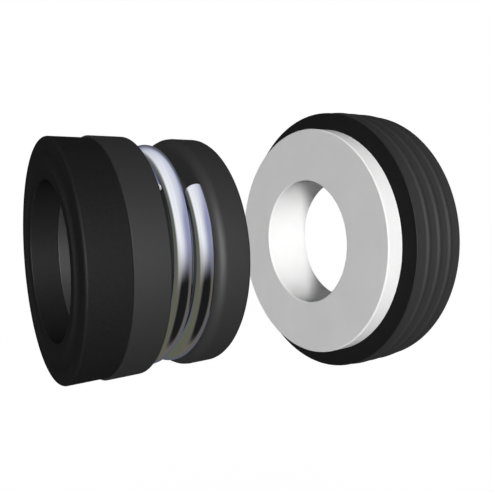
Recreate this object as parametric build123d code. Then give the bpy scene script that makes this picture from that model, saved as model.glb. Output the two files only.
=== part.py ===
from build123d import *

import math
import os

# Component shaft seal for a 16 mm shaft: a rotary head (seal ring, rubber bellows, coil spring) and a
# stationary seat (ceramic ring in a ribbed rubber cup), set apart on one axis with the lapped faces on the
# same side. Millimetres. X is the shaft axis, running from the head to the seat, and +Z is up. The origin
# lies on the axis, midway along the cup's housing land.

# Layout along the shaft
SHAFT_RADIUS = 8.0
HEAD_TO_SEAT_GAP = 18.5

# Seat ring, ceramic
SEAT_RADIUS = 16.2
SEAT_BORE_RADIUS = 8.85
SEAT_THICKNESS = 7.4
SEAT_PROUD = 2.4
SEAT_EDGE = 0.2

# Seat cup, rubber: a ring with three round grooves that leave ribs, and a lip behind the seat ring
CUP_RADIUS = 18.7
CUP_WIDTH = 8.3
CUP_OPENING_RADIUS = 13.2
CUP_EDGE = 0.3
CUP_OPENING_EDGE = 0.6
GROOVE_COUNT = 3
GROOVE_PITCH = 2.05
GROOVE_WIDTH = 1.45
GROOVE_DEPTH = 0.35
RIB_EDGE = 0.12

# Seal ring, carbon: a lapped nose round the bore, a relief groove between the nose and the rim, and a
# counterbore behind for the bellows' spigot
RING_RADIUS = 13.65
RING_BORE_RADIUS = 9.0
RING_LENGTH = 4.55
RING_EDGE = 0.3
NOSE_RADIUS = 10.15
NOSE_HEIGHT = 0.05
RELIEF_DEPTH = 0.3
RELIEF_FLOOR_INNER_RADIUS = 10.5
RELIEF_FLOOR_OUTER_RADIUS = 11.6
RELIEF_OUTER_RADIUS = 12.2
RELIEF_ROUND = 0.25
BORE_EDGE = 0.2

# Bellows, rubber: spigot, front band, waist inside the spring, and tail collar that grips the shaft
SPIGOT_RADIUS = 11.4
SPIGOT_LENGTH = 1.25
BOND_LINE = 0.05
BAND_RADIUS = 13.9
BAND_LENGTH = 3.95
BAND_FRONT_EDGE = 0.15
BAND_REAR_EDGE = 0.2
WAIST_RADIUS = 10.5
WAIST_LENGTH = 5.1
WAIST_ROOT = 0.4
COLLAR_LENGTH = 4.15
COLLAR_FRONT_ROUND = 1.2
COLLAR_REAR_EDGE = 0.4
BELLOWS_BORE_RADIUS = 8.8
GRIP_LENGTH = 5.2
GRIP_TAPER_LENGTH = 1.6
GRIP_EDGE = 0.4

# Spring, round wire: the end turns bed in pockets moulded in the two rubber shoulders
WIRE_RADIUS = 1.0
COIL_RADIUS = 12.1
COIL_TURNS = 2
COIL_END_ANGLE = 49.0
COIL_END_CLOSING = 0.3
BED_IN_BAND = 0.93
BED_IN_COLLAR = 0.77
POCKET_CLEARANCE = 0.05
POCKET_OVERRUN = 0.004
POINTS_PER_TURN = 16

# Places along X
cup_front = -CUP_WIDTH / 2
cup_rear = CUP_WIDTH / 2
seat_face = cup_front - SEAT_PROUD
seat_back = seat_face + SEAT_THICKNESS
head_rear = seat_face - HEAD_TO_SEAT_GAP
collar_face = head_rear - COLLAR_LENGTH
band_rear = collar_face - WAIST_LENGTH
band_front = band_rear - BAND_LENGTH
ring_face = band_front - RING_LENGTH
nose_face = ring_face - NOSE_HEIGHT
relief_floor = ring_face + RELIEF_DEPTH
spigot_face = band_front - SPIGOT_LENGTH
grip_front = head_rear - GRIP_LENGTH
bore_rear = grip_front - GRIP_TAPER_LENGTH
coil_start = collar_face + BED_IN_COLLAR - WIRE_RADIUS
coil_end = band_rear - BED_IN_BAND + WIRE_RADIUS


def section(corners):
    """Closed half section in the XZ plane from (x, radius, corner rounding) triples."""
    outline = Polyline(*[(x, 0, radius) for x, radius, _ in corners], close=True)
    face = make_face(outline)
    for x, radius, rounding in corners:
        if rounding:
            corner = face.vertices().sort_by_distance((x, 0, radius))[0]
            face = fillet(corner, rounding)
    return face


def turned(face):
    """Solid of revolution about the shaft axis."""
    return revolve(face, Axis.X, 360)


def make_seat_ring():
    """Ceramic ring with a lapped front face."""
    return turned(section([
        (seat_face, SEAT_BORE_RADIUS, SEAT_EDGE),
        (seat_face, SEAT_RADIUS, SEAT_EDGE),
        (seat_back, SEAT_RADIUS, SEAT_EDGE),
        (seat_back, SEAT_BORE_RADIUS, SEAT_EDGE),
    ]))


def make_seat_cup():
    """Rubber cup: a pocket for the seat ring, a lip behind it, and round grooves in the outside."""
    blank = section([
        (cup_front, SEAT_RADIUS, 0),
        (cup_front, CUP_RADIUS, CUP_EDGE),
        (cup_rear, CUP_RADIUS, CUP_EDGE),
        (cup_rear, CUP_OPENING_RADIUS, CUP_OPENING_EDGE),
        (seat_back, CUP_OPENING_RADIUS, 0),
        (seat_back, SEAT_RADIUS, SEAT_EDGE),
    ])
    groove_radius = (GROOVE_WIDTH ** 2 / 4 + GROOVE_DEPTH ** 2) / (2 * GROOVE_DEPTH)
    groove_centre = CUP_RADIUS - GROOVE_DEPTH + groove_radius
    for index in range(GROOVE_COUNT):
        x = (index - (GROOVE_COUNT - 1) / 2) * GROOVE_PITCH
        blank -= Plane.XZ * Pos(x, groove_centre) * Circle(groove_radius)
        for side in (-1, 1):
            rib_corner = (x + side * GROOVE_WIDTH / 2, 0, CUP_RADIUS)
            blank = fillet(blank.vertices().sort_by_distance(rib_corner)[0], RIB_EDGE)
    return turned(blank)


def make_seal_ring():
    """Carbon ring: lapped nose, relief groove, bore, and a counterbore that fits over the bellows' spigot."""
    return turned(section([
        (nose_face, RING_BORE_RADIUS, BORE_EDGE),
        (nose_face, NOSE_RADIUS, 0),
        (relief_floor, RELIEF_FLOOR_INNER_RADIUS, RELIEF_ROUND),
        (relief_floor, RELIEF_FLOOR_OUTER_RADIUS, RELIEF_ROUND),
        (ring_face, RELIEF_OUTER_RADIUS, 0),
        (ring_face, RING_RADIUS, RING_EDGE),
        (band_front, RING_RADIUS, 0),
        (band_front, SPIGOT_RADIUS, 0),
        (spigot_face, SPIGOT_RADIUS, 0),
        (spigot_face, RING_BORE_RADIUS, 0),
    ]))


def coil_point(part):
    """Centre of the wire at a part (0 to 1) of its length. It winds from the collar to the band, and its
    pitch closes towards both ends."""
    advance = part - COIL_END_CLOSING * math.sin(2 * math.pi * part) / (2 * math.pi)
    x = coil_start + (coil_end - coil_start) * advance
    angle = math.radians(COIL_END_ANGLE + 360 * COIL_TURNS * part)
    return Vector(x, -COIL_RADIUS * math.sin(angle), COIL_RADIUS * math.cos(angle))


def make_wire(radius, overrun):
    """Round wire along the coil, longer at each end by a part of its length."""
    steps = COIL_TURNS * POINTS_PER_TURN
    parts = [-overrun + (1 + 2 * overrun) * step / steps for step in range(steps + 1)]
    path = Spline(*[coil_point(part) for part in parts])
    start = Plane(path @ 0, z_dir=path % 0)
    return sweep(start * Circle(radius), path=path, is_frenet=True)


def make_bellows():
    """One rubber moulding with the spring's pockets in its two shoulders."""
    body = turned(section([
        (spigot_face, BELLOWS_BORE_RADIUS, 0),
        (spigot_face, SPIGOT_RADIUS - BOND_LINE, 0),
        (band_front, SPIGOT_RADIUS - BOND_LINE, 0),
        (band_front, BAND_RADIUS, BAND_FRONT_EDGE),
        (band_rear, BAND_RADIUS, BAND_REAR_EDGE),
        (band_rear, WAIST_RADIUS, WAIST_ROOT),
        (collar_face, WAIST_RADIUS, WAIST_ROOT),
        (collar_face, BAND_RADIUS, COLLAR_FRONT_ROUND),
        (head_rear, BAND_RADIUS, COLLAR_REAR_EDGE),
        (head_rear, SHAFT_RADIUS, GRIP_EDGE),
        (grip_front, SHAFT_RADIUS, GRIP_EDGE),
        (bore_rear, BELLOWS_BORE_RADIUS, GRIP_EDGE),
    ]))
    return body - make_wire(WIRE_RADIUS + POCKET_CLEARANCE, POCKET_OVERRUN)


def main():
    os.makedirs("parts", exist_ok=True)
    nodes = {
        "seal_ring": make_seal_ring(),
        "bellows": make_bellows(),
        "spring": make_wire(WIRE_RADIUS, 0),
        "seat_ring": make_seat_ring(),
        "seat_cup": make_seat_cup(),
    }
    for name, solid in nodes.items():
        export_step(solid, f"parts/{name}.step")


main()
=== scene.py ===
"""Looks of a component shaft seal: a rotary head and a stationary seat on one axis.

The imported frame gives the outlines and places. Sizes in this file are millimetres in the frame's own axes, X
along the shaft from head to seat and +Z up. Meshes are worked in millimetres and brought to metres when they
are done.

Every piece but the cup is hidden from glossy rays. The bright wire therefore mirrors neither the rest of the
head nor itself, only the cup and the pattern that Surroundings holds for mirror rays.
"""

import logging
import math
from dataclasses import dataclass
from enum import Enum
from typing import Any

import bmesh
import bpy
from mathutils import Matrix, Vector

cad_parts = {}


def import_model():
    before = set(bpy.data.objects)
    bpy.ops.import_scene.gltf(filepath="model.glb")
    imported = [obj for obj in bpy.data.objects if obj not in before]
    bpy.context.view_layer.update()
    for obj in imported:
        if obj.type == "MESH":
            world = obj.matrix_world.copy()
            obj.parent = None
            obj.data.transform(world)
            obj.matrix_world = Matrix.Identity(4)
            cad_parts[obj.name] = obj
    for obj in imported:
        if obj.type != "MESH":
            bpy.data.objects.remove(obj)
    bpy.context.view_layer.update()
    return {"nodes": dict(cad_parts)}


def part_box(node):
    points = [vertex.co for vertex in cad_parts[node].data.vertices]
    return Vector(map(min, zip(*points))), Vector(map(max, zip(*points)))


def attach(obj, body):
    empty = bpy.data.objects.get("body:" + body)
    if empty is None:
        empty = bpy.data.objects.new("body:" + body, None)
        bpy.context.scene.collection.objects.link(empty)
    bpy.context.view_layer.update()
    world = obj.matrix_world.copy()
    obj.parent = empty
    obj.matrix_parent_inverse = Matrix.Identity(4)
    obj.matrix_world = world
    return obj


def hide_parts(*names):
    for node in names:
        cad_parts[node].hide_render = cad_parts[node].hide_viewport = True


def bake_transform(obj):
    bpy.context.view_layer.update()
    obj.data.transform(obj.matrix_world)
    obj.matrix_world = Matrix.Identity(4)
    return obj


frame: dict[str, Any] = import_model()

LOG = logging.getLogger("shaft_seal")
Tint = tuple[float, float, float]
MM = 0.001
TURN_STEPS = 240
CORNER_SEGMENTS = 5
SHARP_ANGLE = math.radians(38)
ROUND_THE_SHAFT = (1, 0.01, 0.01)  # scale that draws noise out into rings round the shaft
WHITE: Tint = (1.0, 1.0, 1.0)


class Body(Enum):
    """Bodies of the frame that a piece can ride on."""

    STATOR = "stator"
    ROTOR = "rotor"
    FACE = "face"


class Slot(Enum):
    """Material slots of the record."""

    CARBON = "carbon"
    RUBBER = "rubber"
    SPRING_STEEL = "spring_steel"
    CERAMIC = "ceramic"


# ---------------------------------------------------------------- shader graphs


@dataclass
class NodeGraph:
    """A node tree, with short calls for the nodes that finishes and surroundings share.

    Attributes:
        tree: Node tree to work in.
    """

    tree: bpy.types.NodeTree

    def node(self, kind: str, **settings: Any) -> bpy.types.Node:
        """Adds a node and sets its properties and inputs.

        Args:
            kind: Blender's type name of the node.
            settings: Properties of the node, or values for its inputs by name, with _ for a space.

        Returns:
            The new node.
        """
        made = self.tree.nodes.new(kind)
        for key, value in settings.items():
            if hasattr(made, key):
                setattr(made, key, value)
            else:
                made.inputs[key.replace("_", " ")].default_value = value
        return made

    def link(self, source: bpy.types.NodeSocket, target: bpy.types.NodeSocket) -> None:
        """Joins two sockets."""
        self.tree.links.new(source, target)

    def spread(self, value: bpy.types.NodeSocket, low: float, high: float,
               source: tuple[float, float] = (0.3, 0.7), smooth: bool = False) -> bpy.types.NodeSocket:
        """Maps a value onto a range.

        Args:
            value: Value to map.
            low: Result at the source range's first end.
            high: Result at the source range's second end.
            source: Range of the value that is spread out.
            smooth: True for soft ends.

        Returns:
            The mapped value.
        """
        mapped = self.node("ShaderNodeMapRange", To_Min=low, To_Max=high,
                           From_Min=source[0], From_Max=source[1])
        if smooth:
            mapped.interpolation_type = "SMOOTHSTEP"
        self.link(value, mapped.inputs["Value"])
        return mapped.outputs["Result"]

    def mix(self, share: bpy.types.NodeSocket, first: Tint | bpy.types.NodeSocket,
            second: Tint | bpy.types.NodeSocket) -> bpy.types.NodeSocket:
        """Mixes two colours.

        Args:
            share: Share of the second colour, from 0 to 1.
            first: Colour at 0.
            second: Colour at 1.

        Returns:
            The mixed colour.
        """
        mix = self.node("ShaderNodeMix", data_type="RGBA")
        self.link(share, mix.inputs["Factor"])
        for name, colour in (("A", first), ("B", second)):
            socket = next(one for one in mix.inputs if one.name == name and one.type == "RGBA")
            if isinstance(colour, tuple):
                socket.default_value = (*colour, 1)
            else:
                self.link(colour, socket)
        return next(one for one in mix.outputs if one.type == "RGBA")

    def math(self, operation: str, first: bpy.types.NodeSocket,
             second: bpy.types.NodeSocket | float) -> bpy.types.NodeSocket:
        """Works out one sum.

        Args:
            operation: Blender's name of the operation.
            first: First value.
            second: Second value.

        Returns:
            The result.
        """
        step = self.node("ShaderNodeMath", operation=operation)
        self.link(first, step.inputs[0])
        if isinstance(second, float):
            step.inputs[1].default_value = second
        else:
            self.link(second, step.inputs[1])
        return step.outputs["Value"]

    def seen(self) -> bpy.types.NodeSocket:
        """1 for rays from the camera or through glass, and 0 for the rest."""
        path = self.node("ShaderNodeLightPath")
        return self.math("MAXIMUM", path.outputs["Is Camera Ray"], path.outputs["Is Transmission Ray"])


class ShaderGraph(NodeGraph):
    """A material's node tree, from its Principled shader back."""

    def __init__(self, name: str) -> None:
        """Starts the material.

        Args:
            name: Name of the material.
        """
        self.material = bpy.data.materials.new(name)
        self.material.use_nodes = True
        super().__init__(self.material.node_tree)
        self.shader = self.tree.nodes["Principled BSDF"]

    def object_place(self) -> bpy.types.NodeSocket:
        """Object coordinates, in metres."""
        return self.node("ShaderNodeTexCoord").outputs["Object"]

    def stretched(self, place: bpy.types.NodeSocket,
                  scale: tuple[float, float, float]) -> bpy.types.NodeSocket:
        """Coordinates scaled by axis.

        Args:
            place: Coordinates to scale.
            scale: Factor along each axis.

        Returns:
            The scaled coordinates.
        """
        mapping = self.node("ShaderNodeMapping")
        mapping.inputs["Scale"].default_value = scale
        self.link(place, mapping.inputs["Vector"])
        return mapping.outputs["Vector"]

    def noise(self, place: bpy.types.NodeSocket, scale: float, detail: float = 3.0) -> bpy.types.NodeSocket:
        """Noise from 0 to 1.

        Args:
            place: Coordinates that the noise is read at.
            scale: Number of features to a unit of the coordinates.
            detail: Octaves of finer noise.

        Returns:
            The noise value.
        """
        texture = self.node("ShaderNodeTexNoise", Scale=scale, Detail=detail, Roughness=0.6)
        self.link(place, texture.inputs["Vector"])
        return texture.outputs["Fac"]

    def bump(self, height: bpy.types.NodeSocket, depth_mm: float,
             below: bpy.types.Node | None = None) -> bpy.types.Node:
        """Adds a bump and puts it on the shader's normal.

        Args:
            height: Height from 0 to 1.
            depth_mm: Height in millimetres that 1 stands for.
            below: Coarser bump that this one lies on.

        Returns:
            The bump node.
        """
        bump = self.node("ShaderNodeBump", Strength=1.0, Distance=depth_mm * MM)
        self.link(height, bump.inputs["Height"])
        if below:
            self.link(below.outputs["Normal"], bump.inputs["Normal"])
        self.link(bump.outputs["Normal"], self.shader.inputs["Normal"])
        return bump


# ---------------------------------------------------------------- finishes


@dataclass(frozen=True)
class MouldedRubber:
    """Black nitrile rubber as it leaves a spark-finished mould.

    Attributes:
        name: Name of the material.
        dark: Colour of the compound.
        bloom: Colour where a little wax has bloomed.
        specular: Specular level.
        painted_shade_until: X, in millimetres, up to which the front face is painted darker, as painted shade,
        or None for no painted shade.
        face: Colour of the painted shade on that face.
        painted_shade_fade_mm: Depth over which the painted shade fades into the sides' colour.
        cloud_scale: Fineness of the bloom's clouds.
        roughness: Roughness between the clouds and in them.
        grain_mm: Size of the mould's grain.
        grain_depth_mm: Depth of the grain.
    """

    name: str = "moulded_rubber"
    dark: Tint = (0.023, 0.023, 0.023)
    bloom: Tint = (0.026, 0.026, 0.026)
    specular: float = 0.8
    # Painted shade: the front face can get a darker colour that stands in for its shade.
    painted_shade_until: float | None = None
    face: Tint = (0.0085, 0.0085, 0.0085)
    painted_shade_fade_mm: float = 0.2
    cloud_scale: float = 90
    roughness: tuple[float, float] = (0.62, 0.58)
    grain_mm: float = 0.16
    grain_depth_mm: float = 0.006

    def material(self) -> bpy.types.Material:
        """The rubber's material."""
        graph = ShaderGraph(self.name)
        place = graph.object_place()
        clouds = graph.noise(place, self.cloud_scale, detail=4)
        grain = graph.noise(place, 1 / (self.grain_mm * MM), detail=2)
        colour = graph.mix(graph.spread(clouds, 0, 1), self.dark, self.bloom)
        # Painted shade: paints the front face darker than the sides, standing in for the shade that it lies
        # in.
        if self.painted_shade_until is not None:
            split = graph.node("ShaderNodeSeparateXYZ")
            graph.link(place, split.inputs["Vector"])
            edge = (self.painted_shade_until * MM, (self.painted_shade_until + self.painted_shade_fade_mm) * MM)
            colour = graph.mix(graph.spread(split.outputs["X"], 0, 1, edge), self.face, colour)
        graph.link(colour, graph.shader.inputs["Base Color"])
        graph.link(graph.spread(clouds, *self.roughness), graph.shader.inputs["Roughness"])
        graph.shader.inputs["Specular IOR Level"].default_value = self.specular
        graph.bump(grain, self.grain_depth_mm)
        return graph.material


@dataclass(frozen=True)
class CarbonGraphite:
    """Resin-filled carbon graphite: turned all over, with a lapped nose.

    Attributes:
        lapped_below: X, in millimetres, below which the surface is lapped.
        name: Name of the material.
        dark: Colour of the carbon.
        light: Colour of the graphite flecks.
        specular: Specular level.
        fleck_scale: Fineness of the flecks.
        fleck_share: Noise values between which a fleck comes up.
        cloud_scale: Fineness of the roughness's clouds.
        marks_scale: Fineness of the turning marks.
        roughness: Roughness of the lapped and of the turned surface.
        play: Amount that the clouds add to it or take off.
        lap_depth: Depth over which the lapped surface turns into the turned one.
        marks_depth: Depth of the turning marks.
        fleck_depth: Height of the flecks.
    """

    lapped_below: float
    name: str = "carbon_graphite"
    dark: Tint = (0.0095, 0.0095, 0.0095)
    light: Tint = (0.0135, 0.0135, 0.0135)
    specular: float = 0.25
    fleck_scale: float = 4200
    fleck_share: tuple[float, float] = (0.45, 0.75)
    cloud_scale: float = 120
    marks_scale: float = 9000
    roughness: tuple[float, float] = (0.56, 0.60)
    play: float = 0.03
    lap_depth: float = 0.03
    marks_depth: float = 0.0012
    fleck_depth: float = 0.0015

    def material(self) -> bpy.types.Material:
        """The carbon's material."""
        graph = ShaderGraph(self.name)
        place = graph.object_place()
        flecks = graph.noise(place, self.fleck_scale, detail=3)
        clouds = graph.noise(place, self.cloud_scale, detail=3)
        split = graph.node("ShaderNodeSeparateXYZ")
        graph.link(place, split.inputs["Vector"])
        lap_edge = (self.lapped_below * MM, (self.lapped_below + self.lap_depth) * MM)
        turned = graph.spread(split.outputs["X"], 0, 1, lap_edge)
        roughness = graph.node("ShaderNodeMath", operation="ADD")
        graph.link(graph.spread(turned, *self.roughness, (0, 1)), roughness.inputs[0])
        graph.link(graph.spread(clouds, -self.play, self.play), roughness.inputs[1])
        graph.link(roughness.outputs["Value"], graph.shader.inputs["Roughness"])
        graph.link(graph.mix(graph.spread(flecks, 0, 1, self.fleck_share), self.dark, self.light),
                   graph.shader.inputs["Base Color"])
        graph.shader.inputs["Specular IOR Level"].default_value = self.specular
        turning_marks = graph.noise(graph.stretched(place, ROUND_THE_SHAFT), self.marks_scale, detail=2)
        marks = graph.bump(turning_marks, self.marks_depth)
        graph.bump(flecks, self.fleck_depth, marks)
        return graph.material


@dataclass(frozen=True)
class WhiteCeramic:
    """Dense alumina: lapped in front, ground round the outside and in the bore.

    Attributes:
        name: Name of the material.
        light: Colour of the body.
        shade: Colour of its fainter clouds.
        specular: Specular level.
        cloud_scale: Fineness of the clouds.
        grain_scale: Fineness of the grains.
        grinding_scale: Fineness of the grinding marks.
        roughness: Roughness between the grains and on them.
        grinding_depth: Depth of the grinding marks.
    """

    name: str = "white_ceramic"
    light: Tint = (0.90, 0.90, 0.895)
    shade: Tint = (0.86, 0.86, 0.855)
    specular: float = 0.3
    cloud_scale: float = 160
    grain_scale: float = 9000
    grinding_scale: float = 12000
    roughness: tuple[float, float] = (0.3, 0.4)
    grinding_depth: float = 0.0006

    def material(self) -> bpy.types.Material:
        """The ceramic's material."""
        graph = ShaderGraph(self.name)
        place = graph.object_place()
        clouds = graph.noise(place, self.cloud_scale, detail=4)
        grains = graph.noise(place, self.grain_scale, detail=2)
        colour = graph.mix(graph.spread(clouds, 0, 1), self.shade, self.light)
        graph.link(colour, graph.shader.inputs["Base Color"])
        graph.link(graph.spread(grains, *self.roughness), graph.shader.inputs["Roughness"])
        graph.shader.inputs["Specular IOR Level"].default_value = self.specular
        grinding = graph.noise(graph.stretched(place, ROUND_THE_SHAFT), self.grinding_scale, detail=2)
        graph.bump(grinding, self.grinding_depth)
        return graph.material


@dataclass(frozen=True)
class DrawnSteel:
    """Bright drawn stainless wire, with faint die lines along it and satin cut ends.

    Attributes:
        length: Length over which the straightened wire's coordinates run, in millimetres.
        name: Name of the material.
        bright: Colour of the steel.
        dull: Colour in the die lines.
        along: Name of the attribute that holds the straightened wire's coordinates, in millimetres.
        line_scale: Fineness of the die lines across the wire, outwards, and along it.
        line_depth: Depth of the die lines.
        end_skin: Distances from each end, in millimetres, at which the satin starts and is full.
        end_roughness: Roughness of the cut.
    """

    length: float
    name: str = "drawn_steel"
    bright: Tint = (0.95, 0.955, 0.965)
    dull: Tint = (0.84, 0.845, 0.86)
    along: str = "straight_wire"
    line_scale: tuple[float, float, float] = (9, 9, 0.12)
    line_depth: float = 0.0006
    end_skin: tuple[float, float] = (0.04, 0.01)
    end_roughness: float = 0.6

    def material(self) -> bpy.types.Material:
        """The steel's material."""
        graph = ShaderGraph(self.name)
        straight = graph.node("ShaderNodeAttribute", attribute_name=self.along).outputs["Vector"]
        lines = graph.noise(graph.stretched(straight, self.line_scale), scale=1.0, detail=3)
        colour = graph.mix(graph.spread(lines, 0, 1), self.dull, self.bright)
        graph.link(colour, graph.shader.inputs["Base Color"])
        graph.bump(lines, self.line_depth)
        split = graph.node("ShaderNodeSeparateXYZ")
        graph.link(straight, split.inputs["Vector"])
        half = self.length / 2
        from_middle = graph.math("ABSOLUTE", graph.math("SUBTRACT", split.outputs["Z"], half), 0.0)
        starts, full = self.end_skin
        at_end = graph.spread(from_middle, 0, 1, (half - starts, half - full))
        graph.link(graph.spread(at_end, 1, 0), graph.shader.inputs["Metallic"])
        graph.link(graph.spread(at_end, 0, self.end_roughness), graph.shader.inputs["Roughness"])
        return graph.material


# ---------------------------------------------------------------- mesh making


@dataclass(frozen=True)
class Corner:
    """A corner of a half section.

    Attributes:
        x: Place along the shaft.
        radius: Distance from the shaft's axis.
        rounding: Length of edge that the rounding takes, or 0 for a sharp corner.
    """

    x: float
    radius: float
    rounding: float = 0.0


def turn(corners: list[Corner]) -> bmesh.types.BMesh:
    """Turns a closed half section about the shaft's axis.

    Args:
        corners: Corners of the section, in order.

    Returns:
        The turned solid's mesh, in millimetres.
    """
    bm = bmesh.new()
    points = [bm.verts.new((corner.x, 0, corner.radius)) for corner in corners]
    for start, end in zip(points, points[1:] + points[:1]):
        bm.edges.new((start, end))
    for point, corner in zip(points, corners):
        if corner.rounding:
            bmesh.ops.bevel(bm, geom=[point], offset=corner.rounding, offset_type="OFFSET",
                            segments=CORNER_SEGMENTS, profile=0.5, affect="VERTICES", material=-1)
    bmesh.ops.spin(bm, geom=bm.verts[:] + bm.edges[:], cent=(0, 0, 0), axis=(1, 0, 0), dvec=(0, 0, 0),
                   angle=math.tau, steps=TURN_STEPS, use_merge=True, use_duplicate=False)
    bmesh.ops.recalc_face_normals(bm, faces=bm.faces)
    return bm


def make_object(name: str, bm: bmesh.types.BMesh) -> bpy.types.Object:
    """Puts a mesh in the scene.

    Args:
        name: Name of the object.
        bm: Mesh in millimetres. It is freed.

    Returns:
        The object, still in millimetres.
    """
    mesh = bpy.data.meshes.new(name)
    bm.to_mesh(mesh)
    bm.free()
    made = bpy.data.objects.new(name, mesh)
    bpy.context.scene.collection.objects.link(made)
    return made


def finish_object(piece: bpy.types.Object, material: bpy.types.Material) -> bpy.types.Object:
    """Brings a piece to metres, dresses it, and shades its flats flat and its rounds round.

    Args:
        piece: Object in millimetres.
        material: Its finish.

    Returns:
        The piece.
    """
    mesh = piece.data
    mesh.transform(Matrix.Scale(MM, 4))
    mesh.shade_smooth()
    mesh.set_sharp_from_angle(angle=SHARP_ANGLE)
    mesh.materials.clear()
    mesh.materials.append(material)
    even = piece.modifiers.new("even_normals", "WEIGHTED_NORMAL")
    even.keep_sharp = True
    return piece


def stand_for(piece: bpy.types.Object, node: str) -> None:
    """Hides the CAD node that a piece stands for, and logs the piece's face count.

    Args:
        piece: The finished piece.
        node: Name of the CAD node.
    """
    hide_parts(node)
    LOG.info("%s: %d faces", piece.name, len(piece.data.polygons))


def span(node: str) -> tuple[float, float, float]:
    """Where a node starts and ends along the shaft, and its outer radius, in millimetres."""
    low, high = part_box(node)
    return low.x / MM, high.x / MM, high.z / MM


# ---------------------------------------------------------------- rotary head


@dataclass
class CoilWire:
    """The coil's centre line and its wire.

    Attributes:
        start: X of the wire's centre at the collar.
        end: X of the wire's centre at the band.
        coil_radius: Radius of the centre line.
        wire_radius: Radius of the wire.
        turns: Number of turns.
        end_angle: Angle of both ends, in degrees from the top towards -Y.
        closing: Share by which the pitch closes at the ends.
        steps_per_turn: Sections to a turn.
        sides: Sides of a section.
    """

    start: float
    end: float
    coil_radius: float
    wire_radius: float = 1.0
    turns: int = 2
    end_angle: float = 49.0
    closing: float = 0.3
    steps_per_turn: int = 144
    sides: int = 48

    def centre_x(self, part: float) -> float:
        """X of the centre line at a part, from 0 to 1, of the wire."""
        advance = part - self.closing * math.sin(math.tau * part) / math.tau
        return self.start + (self.end - self.start) * advance

    def length(self) -> float:
        """Length of the wire round the shaft. Its small advance along the shaft is left out."""
        return math.tau * self.coil_radius * self.turns

    def wind(self, radius: float, overrun: float = 0.0, end_rounding: float = 0.0,
             straight: str | None = None) -> bmesh.types.BMesh:
        """Winds a round section along the coil.

        Args:
            radius: Radius of the section.
            overrun: Extra length at each end, as a part of the wire.
            end_rounding: Rounding of the cut ends' edges.
            straight: Name of an attribute for the straightened wire's coordinates.

        Returns:
            The wire's mesh, in millimetres.
        """
        bm = bmesh.new()
        layer = bm.verts.layers.float_vector.new(straight) if straight else None
        steps = self.turns * self.steps_per_turn
        parts = [-overrun + (1 + 2 * overrun) * step / steps for step in range(steps + 1)]
        angles = [math.radians(self.end_angle) + math.tau * self.turns * part for part in parts]
        place = (Matrix.Rotation(angles[0], 4, "X")
                 @ Matrix.Translation((self.centre_x(parts[0]), 0, self.coil_radius))
                 @ Matrix.Rotation(math.pi / 2, 4, "X"))
        bmesh.ops.create_circle(bm, cap_ends=False, segments=self.sides, radius=radius, matrix=place)
        ring = bm.edges[:]
        self._mark(ring, parts[0], layer)
        for before, after, turned_from, turned_to in zip(parts, parts[1:], angles, angles[1:]):
            swept = bmesh.ops.spin(
                bm, geom=ring, cent=(0, 0, 0), axis=(1, 0, 0), steps=1, angle=turned_to - turned_from,
                dvec=(self.centre_x(after) - self.centre_x(before), 0, 0),
                use_merge=False, use_duplicate=False)
            ring = [part for part in swept["geom_last"] if isinstance(part, bmesh.types.BMEdge)]
            self._mark(ring, after, layer)
        open_edges = [edge for edge in bm.edges if edge.is_boundary]
        caps = bmesh.ops.holes_fill(bm, edges=open_edges, sides=0)["faces"]
        if end_rounding:
            rims = [edge for cap in caps for edge in cap.edges]
            bmesh.ops.bevel(bm, geom=rims, offset=end_rounding, offset_type="OFFSET", segments=3, profile=0.5,
                            affect="EDGES", material=-1)
        bmesh.ops.recalc_face_normals(bm, faces=bm.faces)
        return bm

    def _mark(self, ring: list[bmesh.types.BMEdge], part: float, layer: Any) -> None:
        """Writes the straightened wire's coordinates on one section.

        Args:
            ring: Edges of the section.
            part: Its part along the wire.
            layer: Layer of the attribute, or None to write nothing.
        """
        if layer is None:
            return
        distance = self.length() * part
        for vert in {vert for edge in ring for vert in edge.verts}:
            outward = math.hypot(vert.co.y, vert.co.z) - self.coil_radius
            vert[layer] = (vert.co.x - self.centre_x(part), outward, distance)


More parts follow.
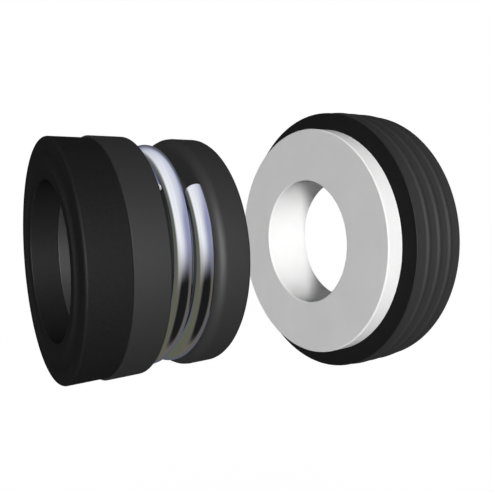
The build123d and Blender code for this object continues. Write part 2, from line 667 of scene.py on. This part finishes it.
@dataclass
class RotaryHead:
    """Seal ring, rubber bellows and coil spring.

    Attributes:
        bore_radius: Radius of the seal ring's bore.
        nose_radius: Outer radius of the lapped nose.
        nose_height: Height of the nose above the rim.
        relief_depth: Depth of the groove between nose and rim, below the rim.
        relief_floor: Inner and outer radius of that groove's floor.
        relief_radius: Outer radius of the groove.
        spigot_radius: Radius of the bellows' spigot.
        band_length: Length of the bellows' front band.
        collar_length: Length of its tail collar.
        waist_radius: Radius of its waist.
        bellows_bore_radius: Radius of its cavity.
        grip_radius: Radius of the tail's bore, which grips the shaft.
        grip_length: Length of that bore.
        taper_length: Length of the taper before it.
        shoulder_round: Rounding of the collar's shoulder.
        bed_in_collar: Depth that the spring's end turn beds in the collar.
        bed_in_band: Depth that it beds in the band.
        pocket_clearance: Clearance of the wire in its pockets.
        pocket_overrun: Length of the pockets past the wire's ends, as a part of the wire.
        bore_edge: Rounding of the seal ring's bore, in front.
        lapped_edge: Rounding of its lapped edges and of the bore's rear edge.
        relief_round: Rounding of the relief groove's floor.
        rim_edge: Rounding of its outer front edge.
        ring_rear_edge: Rounding of its outer rear edge.
        spigot_edge: Rounding of the bellows' front bore edge.
        band_front_edge: Rounding of the band's front edge.
        band_rear_edge: Rounding of its rear edge.
        soft_edge: Rounding of the waist's roots and of the collar's rear edges.
        grip_edge: Rounding of the grip's and the taper's front edges.
        cut_rounding: Rounding of the wire's cut ends.
    """

    bore_radius: float = 9.0
    nose_radius: float = 10.15
    nose_height: float = 0.05
    relief_depth: float = 0.3
    relief_floor: tuple[float, float] = (10.5, 11.6)
    relief_radius: float = 12.2
    spigot_radius: float = 11.35
    band_length: float = 3.95
    collar_length: float = 4.15
    waist_radius: float = 10.5
    bellows_bore_radius: float = 8.8
    grip_radius: float = 8.0
    grip_length: float = 5.2
    taper_length: float = 1.6
    shoulder_round: float = 1.2
    bed_in_collar: float = 0.77
    bed_in_band: float = 0.93
    pocket_clearance: float = 0.05
    pocket_overrun: float = 0.004
    bore_edge: float = 0.2
    lapped_edge: float = 0.05
    relief_round: float = 0.25
    rim_edge: float = 0.3
    ring_rear_edge: float = 0.06
    spigot_edge: float = 0.1
    band_front_edge: float = 0.04
    band_rear_edge: float = 0.2
    soft_edge: float = 0.4
    grip_edge: float = 0.15
    cut_rounding: float = 0.08

    def __post_init__(self) -> None:
        """Reads the head's places from the frame."""
        self.nose_face, self.band_front, self.ring_radius = span("seal_ring")
        self.spigot_face, self.head_rear, self.band_radius = span("bellows")
        wire_low, wire_high, wire_outside = span("spring")
        self.ring_face = self.nose_face + self.nose_height
        self.band_rear = self.band_front + self.band_length
        self.collar_face = self.head_rear - self.collar_length
        wire = CoilWire.wire_radius
        self.wire = CoilWire(start=self.collar_face + self.bed_in_collar - wire,
                             end=self.band_rear - self.bed_in_band + wire, coil_radius=wire_outside - wire)

    def seal_ring(self, material: bpy.types.Material) -> bpy.types.Object:
        """Carbon ring with its lapped nose and the groove round it.

        Args:
            material: Its finish.

        Returns:
            The finished piece, riding on the face body.
        """
        floor = self.ring_face + self.relief_depth
        floor_inner, floor_outer = self.relief_floor
        section = [
            Corner(self.nose_face, self.bore_radius, self.bore_edge),
            Corner(self.nose_face, self.nose_radius, self.lapped_edge),
            Corner(floor, floor_inner, self.relief_round),
            Corner(floor, floor_outer, self.relief_round),
            Corner(self.ring_face, self.relief_radius, self.lapped_edge),
            Corner(self.ring_face, self.ring_radius, self.rim_edge),
            Corner(self.band_front, self.ring_radius, self.ring_rear_edge),
            Corner(self.band_front, self.spigot_radius + self.pocket_clearance),
            Corner(self.spigot_face, self.spigot_radius + self.pocket_clearance),
            Corner(self.spigot_face, self.bore_radius, self.lapped_edge),
        ]
        piece = finish_object(make_object("carbon_seal_ring", turn(section)), material)
        piece.visible_glossy = False
        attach(piece, Body.FACE.value)
        stand_for(piece, "seal_ring")
        return piece

    def bellows(self, material: bpy.types.Material) -> bpy.types.Object:
        """Rubber moulding with the spring's pockets in its shoulders.

        Args:
            material: Its finish.

        Returns:
            The finished piece, with its transform baked into the mesh.
        """
        grip_front = self.head_rear - self.grip_length
        section = [
            Corner(self.spigot_face, self.bellows_bore_radius, self.spigot_edge),
            Corner(self.spigot_face, self.spigot_radius),
            Corner(self.band_front, self.spigot_radius),
            Corner(self.band_front, self.band_radius, self.band_front_edge),
            Corner(self.band_rear, self.band_radius, self.band_rear_edge),
            Corner(self.band_rear, self.waist_radius, self.soft_edge),
            Corner(self.collar_face, self.waist_radius, self.soft_edge),
            Corner(self.collar_face, self.band_radius, self.shoulder_round),
            Corner(self.head_rear, self.band_radius, self.soft_edge),
            Corner(self.head_rear, self.grip_radius, self.soft_edge),
            Corner(grip_front, self.grip_radius, self.grip_edge),
            Corner(grip_front - self.taper_length, self.bellows_bore_radius, self.grip_edge),
        ]
        piece = make_object("rubber_bellows", turn(section))
        pocket = make_object("pocket_cutter", self.wire.wind(
            self.wire.wire_radius + self.pocket_clearance, self.pocket_overrun))
        self._carve(piece, pocket)
        finish_object(piece, material)
        piece.visible_glossy = False
        self._shorten(piece)
        stand_for(piece, "bellows")
        return piece

    def spring(self, material: bpy.types.Material, straight: str) -> bpy.types.Object:
        """Coil spring with its two cut ends.

        Args:
            material: Its finish.
            straight: Name of the attribute that the finish reads.

        Returns:
            The finished piece, with its transform baked into the mesh.
        """
        wound = self.wire.wind(self.wire.wire_radius, end_rounding=self.cut_rounding, straight=straight)
        piece = finish_object(make_object("coil_spring", wound), material)
        piece.visible_glossy = False
        self._shorten(piece)
        stand_for(piece, "spring")
        return piece

    def _carve(self, piece: bpy.types.Object, cutter: bpy.types.Object) -> None:
        """Cuts one solid out of another, and removes the cutter.

        Args:
            piece: Solid that is cut.
            cutter: Solid that is taken away.
        """
        cut = piece.modifiers.new("pockets", "BOOLEAN")
        cut.operation = "DIFFERENCE"
        cut.solver = "EXACT"
        cut.object = cutter
        bpy.context.view_layer.update()
        evaluated = piece.evaluated_get(bpy.context.evaluated_depsgraph_get())
        carved = bpy.data.meshes.new_from_object(evaluated)
        piece.modifiers.clear()
        piece.data = carved
        bpy.data.objects.remove(cutter)

    def _shorten(self, piece: bpy.types.Object) -> None:
        """Bakes the piece's transform into its mesh."""
        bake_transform(piece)


# ---------------------------------------------------------------- stationary seat


@dataclass
class StationarySeat:
    """Ceramic ring in its ribbed rubber cup.

    Attributes:
        bore_radius: Radius of the ceramic ring's bore.
        opening_radius: Radius of the opening behind it.
        rib_count: Ribs round the cup.
        rib_pitch: Distance between two ribs.
        rib_front: Distance from a rib's crest to its front foot.
        rib_rear: Distance from the crest to its rear foot.
        rib_height: Height of a rib.
        crest_shift: Distance that the ribs sit behind the cup's middle.
        rib_steps: Steps in each flank.
        edge: Rounding of the cup's outer edges.
        pocket_edge: Rounding of the edges round the ceramic ring.
        opening_edge: Rounding of the opening's rear edge.
        ring_edge: Rounding of the ceramic ring's edges.
    """

    bore_radius: float = 8.85
    opening_radius: float = 13.2
    rib_count: int = 3
    rib_pitch: float = 2.05
    rib_front: float = 0.55
    rib_rear: float = 0.70
    rib_height: float = 0.17
    crest_shift: float = 0.025
    rib_steps: int = 8
    edge: float = 0.1
    pocket_edge: float = 0.05
    opening_edge: float = 0.6
    ring_edge: float = 0.2

    def __post_init__(self) -> None:
        """Reads the seat's places from the frame."""
        self.seat_face, self.seat_back, self.seat_radius = span("seat_ring")
        self.cup_front, self.cup_rear, self.crest_radius = span("seat_cup")
        self.cup_radius = self.crest_radius - self.rib_height

    def seat_ring(self, material: bpy.types.Material) -> bpy.types.Object:
        """Ceramic ring.

        Args:
            material: Its finish.

        Returns:
            The finished piece, riding on the stator.
        """
        section = [
            Corner(self.seat_face, self.bore_radius, self.ring_edge),
            Corner(self.seat_face, self.seat_radius, self.ring_edge),
            Corner(self.seat_back, self.seat_radius, self.ring_edge),
            Corner(self.seat_back, self.bore_radius, self.ring_edge),
        ]
        piece = finish_object(make_object("ceramic_seat_ring", turn(section)), material)
        piece.visible_glossy = False
        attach(piece, Body.STATOR.value)
        stand_for(piece, "seat_ring")
        return piece

    def seat_cup(self, material: bpy.types.Material) -> bpy.types.Object:
        """Rubber cup with ribs round the outside.

        Args:
            material: Its finish.

        Returns:
            The finished piece, riding on the stator.
        """
        section = [
            Corner(self.cup_front, self.seat_radius, self.pocket_edge),
            Corner(self.cup_front, self.cup_radius, self.edge),
            *self._ribbed_land(),
            Corner(self.cup_rear, self.cup_radius, self.edge),
            Corner(self.cup_rear, self.opening_radius, self.opening_edge),
            Corner(self.seat_back, self.opening_radius, self.pocket_edge),
            Corner(self.seat_back, self.seat_radius),
        ]
        piece = finish_object(make_object("ribbed_seat_cup", turn(section)), material)
        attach(piece, Body.STATOR.value)
        stand_for(piece, "seat_cup")
        return piece

    def _ribbed_land(self) -> list[Corner]:
        """Corners of the soft round ribs, from front to rear."""
        middle = (self.cup_front + self.cup_rear) / 2 + self.crest_shift
        corners = []
        for index in range(self.rib_count):
            crest = middle + (index - (self.rib_count - 1) / 2) * self.rib_pitch
            for step in range(-self.rib_steps, self.rib_steps + 1):
                part = step / self.rib_steps
                reach = self.rib_front if step < 0 else self.rib_rear
                rise = self.rib_height * (1 + math.cos(math.pi * part)) / 2
                corners.append(Corner(crest + part * reach, self.cup_radius + rise))
        return corners


# ---------------------------------------------------------------- studio


@dataclass(frozen=True)
class Lamp:
    """A far, wide fill lamp, with the same light all over the object and the floor. It gives no highlights.

    Attributes:
        name: Name of the lamp.
        azimuth: Bearing from the object in degrees, 0 for -Y and 90 for -X.
        elevation: Height above the horizon, in degrees.
        level: Brightness that it gives a white surface that faces it, 1 for white.
        width: Width of the lamp as the object sees it, in degrees.
        colour: Colour of its light.
    """

    name: str
    azimuth: float
    elevation: float
    level: float
    width: float
    colour: Tint = WHITE

    def hang(self) -> None:
        """Hangs the lamp."""
        data = bpy.data.lights.new(self.name, "SUN")
        data.energy = self.level * math.pi
        data.angle = math.radians(self.width)
        data.color = self.colour
        lamp = bpy.data.objects.new(self.name, data)
        lamp.rotation_euler = bearing(self.azimuth, self.elevation).to_track_quat("Z", "Y").to_euler()
        lamp.visible_glossy = False
        bpy.context.scene.collection.objects.link(lamp)


def bearing(azimuth: float, elevation: float) -> Vector:
    """Direction out from the object.

    Args:
        azimuth: Bearing in degrees, 0 for -Y and 90 for -X.
        elevation: Height above the horizon, in degrees.

    Returns:
        The direction, of length 1.
    """
    around, above = math.radians(azimuth), math.radians(elevation)
    return Vector((-math.sin(around) * math.cos(above), -math.cos(around) * math.cos(above), math.sin(above)))


@dataclass(frozen=True)
class Patch:
    """Round patch of the surroundings, with a soft edge.

    Attributes:
        azimuth: Bearing of its middle in degrees, 0 for -Y and 90 for -X.
        elevation: Height of its middle above the horizon, in degrees.
        inner: Angle from the middle where the edge starts, in degrees.
        outer: Angle where it ends.
        colour: Colour of the patch.
    """

    azimuth: float
    elevation: float
    inner: float
    outer: float
    colour: Tint

    def over(self, graph: NodeGraph, rest: bpy.types.NodeSocket | Tint) -> bpy.types.NodeSocket:
        """Lays the patch over the rest of the surroundings.

        Args:
            graph: The world's node graph.
            rest: Colour of the rest.

        Returns:
            The colour with the patch in it.
        """
        direction = graph.node("ShaderNodeTexCoord").outputs["Generated"]
        dot = graph.node("ShaderNodeVectorMath", operation="DOT_PRODUCT")
        graph.link(direction, dot.inputs[0])
        dot.inputs[1].default_value = bearing(self.azimuth, self.elevation)
        edge = (math.cos(math.radians(self.inner)), math.cos(math.radians(self.outer)))
        return graph.mix(graph.spread(dot.outputs["Value"], 0, 1, edge, smooth=True), self.colour, rest)


@dataclass(frozen=True)
class Surroundings:
    """What lights the object, and, apart from that, the pattern that bright metal mirrors.

    The pattern is no real room, and only mirror rays see it. Other rays see the key light in an even room,
    and the camera sees white.

    Attributes:
        key_azimuth: Bearing of the key light in degrees, 0 for -Y and 90 for -X.
        key_elevation: Height of the key light above the horizon, in degrees.
        key_radius: Half its width as the object sees it, in degrees.
        key_level: Brightness that it gives a white surface that faces it, 1 for white.
        room: Colour of the even light.
        ceiling: Colour above the horizon.
        overhead: Colour straight above.
        ground: Colour under the object.
        window: Bright side, towards -X.
        table: Dark patch below, in front.
        behind: What stands behind the object.
        screen: Screen behind, to the left.
        straight_up: Heights, as the sine of the elevation, between which ceiling turns into overhead.
        horizon: Heights between which the ground turns into the ceiling.
    """

    key_azimuth: float = 27.0
    key_elevation: float = 7.0
    key_radius: float = 6.0
    key_level: float = 1.12
    room: Tint = (0.024, 0.025, 0.027)
    ceiling: Tint = (0.30, 0.32, 0.49)
    overhead: Tint = (0.62, 0.65, 0.76)
    ground: Tint = (0.135, 0.122, 0.108)
    window: Patch = Patch(azimuth=90, elevation=0, inner=1, outer=120, colour=(0.92, 0.94, 0.97))
    table: Patch = Patch(azimuth=10, elevation=-45, inner=36, outer=58, colour=(0.011, 0.0115, 0.012))
    behind: Patch = Patch(azimuth=213, elevation=-7, inner=34, outer=66, colour=(0.10, 0.11, 0.14))
    screen: Patch = Patch(azimuth=140, elevation=-25, inner=28, outer=52, colour=(0.118, 0.126, 0.088))
    straight_up: tuple[float, float] = (0.55, 0.97)
    horizon: tuple[float, float] = (-0.38, 0.30)

    def build(self) -> None:
        """Makes the scene's world."""
        world = bpy.data.worlds.new("studio_room")
        bpy.context.scene.world = world
        world.use_nodes = True
        graph = NodeGraph(world.node_tree)
        lit = world.node_tree.nodes["Background"]
        graph.link(self._lighting(graph), lit.inputs["Color"])
        shown = graph.node("ShaderNodeBackground")
        graph.link(graph.mix(graph.seen(), self._mirrored(graph), WHITE), shown.inputs["Color"])
        from_mirror = graph.node("ShaderNodeLightPath").outputs["Is Singular Ray"]
        choice = graph.node("ShaderNodeMixShader")
        graph.link(graph.math("MAXIMUM", graph.seen(), from_mirror), choice.inputs["Fac"])
        graph.link(lit.outputs["Background"], choice.inputs[1])
        graph.link(shown.outputs["Background"], choice.inputs[2])
        graph.link(choice.outputs["Shader"], world.node_tree.nodes["World Output"].inputs["Surface"])

    def _lighting(self, graph: NodeGraph) -> bpy.types.NodeSocket:
        """Light that falls on all but bright metal: the key light in an even room.

        Args:
            graph: The world's node graph.

        Returns:
            The colour.
        """
        soft_edge = 1.0
        glare = self.key_level / (2 * (1 - math.cos(math.radians(self.key_radius))))
        key = Patch(self.key_azimuth, self.key_elevation, self.key_radius - soft_edge,
                    self.key_radius + soft_edge, (glare, glare, glare))
        return key.over(graph, self.room)

    def _mirrored(self, graph: NodeGraph) -> bpy.types.NodeSocket:
        """What a mirror shows in each direction.

        Args:
            graph: The world's node graph.

        Returns:
            The colour.
        """
        split = graph.node("ShaderNodeSeparateXYZ")
        graph.link(graph.node("ShaderNodeTexCoord").outputs["Generated"], split.inputs["Vector"])
        overhead = graph.spread(split.outputs["Z"], 0, 1, self.straight_up, smooth=True)
        above_horizon = graph.spread(split.outputs["Z"], 0, 1, self.horizon, smooth=True)
        sky = self.window.over(graph, graph.mix(overhead, self.ceiling, self.overhead))
        colour = graph.mix(above_horizon, self.table.over(graph, self.ground), sky)
        return self.behind.over(graph, self.screen.over(graph, colour))


@dataclass(frozen=True)
class Floor:
    """Plain pale floor that takes the object's shadow.

    Attributes:
        drop: Height of the shaft's axis above the floor.
        side: Side of the floor.
        paint: Brightness of its paint.
        glow: Level that makes it as white as the backdrop where no shadow falls.
        cells: Cells along a side.
    """

    drop: float = 58.0
    side: float = 1600.0
    paint: float = 0.3
    glow: float = 0.92
    cells: int = 8

    def lay(self) -> None:
        """Lays the floor."""
        bm = bmesh.new()
        place = Matrix.Translation((0, 0, -self.drop))
        bmesh.ops.create_grid(bm, x_segments=self.cells, y_segments=self.cells, size=self.side / 2,
                              matrix=place)
        floor = make_object("studio_floor", bm)
        floor.data.transform(Matrix.Scale(MM, 4))
        floor.data.materials.append(self._material())

    def _material(self) -> bpy.types.Material:
        """Matt pale paint, which lets glossy rays through to the surroundings."""
        graph = ShaderGraph("pale_floor")
        graph.shader.inputs["Base Color"].default_value = (self.paint, self.paint, self.paint, 1)
        graph.shader.inputs["Roughness"].default_value = 1.0
        graph.shader.inputs["Specular IOR Level"].default_value = 0.0
        graph.shader.inputs["Emission Color"].default_value = (*WHITE, 1)
        graph.link(graph.math("MULTIPLY", graph.seen(), self.glow), graph.shader.inputs["Emission Strength"])
        clear = graph.node("ShaderNodeBsdfTransparent")
        choice = graph.node("ShaderNodeMixShader")
        graph.link(graph.node("ShaderNodeLightPath").outputs["Is Glossy Ray"], choice.inputs["Fac"])
        graph.link(graph.shader.outputs["BSDF"], choice.inputs[1])
        graph.link(clear.outputs["BSDF"], choice.inputs[2])
        graph.link(choice.outputs["Shader"], graph.tree.nodes["Material Output"].inputs["Surface"])
        return graph.material


@dataclass(frozen=True)
class Camera:
    """The camera.

    Attributes:
        offset: Its place from the centre of the head's front rim.
        aim: Direction that it looks in.
        lens: Focal length on a sensor that is `sensor` wide.
        sensor: Width of the sensor.
        nearest: Distance at which it starts to see.
    """

    offset: tuple[float, float, float] = (-13.881, -61.220, 8.898)
    aim: tuple[float, float, float] = (0.54250, 0.83134, -0.12067)
    lens: float = 39.445
    sensor: float = 36.0
    nearest: float = 2.0

    def set_up(self, rim: Vector) -> None:
        """Sets the camera up.

        Args:
            rim: Centre of the head's front rim.
        """
        data = bpy.data.cameras.new("camera")
        data.lens = self.lens
        data.sensor_width = self.sensor
        data.clip_start = self.nearest * MM
        camera = bpy.data.objects.new("camera", data)
        camera.location = (rim + Vector(self.offset)) * MM
        camera.rotation_euler = Vector(self.aim).to_track_quat("-Z", "Y").to_euler()
        bpy.context.scene.collection.objects.link(camera)
        bpy.context.scene.camera = camera


LAMPS = (
    Lamp("top_lamp", azimuth=10, elevation=65, level=0.03, width=40),
    Lamp("back_lamp", azimuth=205, elevation=6, level=0.5, width=40),
)


def main() -> None:
    """Builds the head, the seat and the studio round them, in that order."""
    logging.basicConfig(level=logging.INFO, format="%(name)s %(message)s")
    head = RotaryHead()
    seat = StationarySeat()
    bellows_rubber = MouldedRubber("bellows_rubber")
    behind_face = 0.02
    # The cup's front face is painted darker than its sides: painted shade.
    cup_rubber = MouldedRubber("cup_rubber", dark=(0.029, 0.029, 0.029), bloom=(0.0335, 0.0335, 0.0335),
                               specular=0.5, painted_shade_until=seat.cup_front + behind_face)
    steel = DrawnSteel(length=head.wire.length())
    head.seal_ring(CarbonGraphite(lapped_below=head.nose_face + behind_face).material())
    head.bellows(bellows_rubber.material())
    head.spring(steel.material(), steel.along)
    seat.seat_ring(WhiteCeramic().material())
    seat.seat_cup(cup_rubber.material())
    camera = Camera()
    camera.set_up(Vector((head.ring_face, 0, 0)))
    Floor().lay()
    Surroundings().build()
    for lamp in LAMPS:
        lamp.hang()
    bpy.context.scene.view_settings.view_transform = "Standard"


if __name__ == "__main__":
    main()
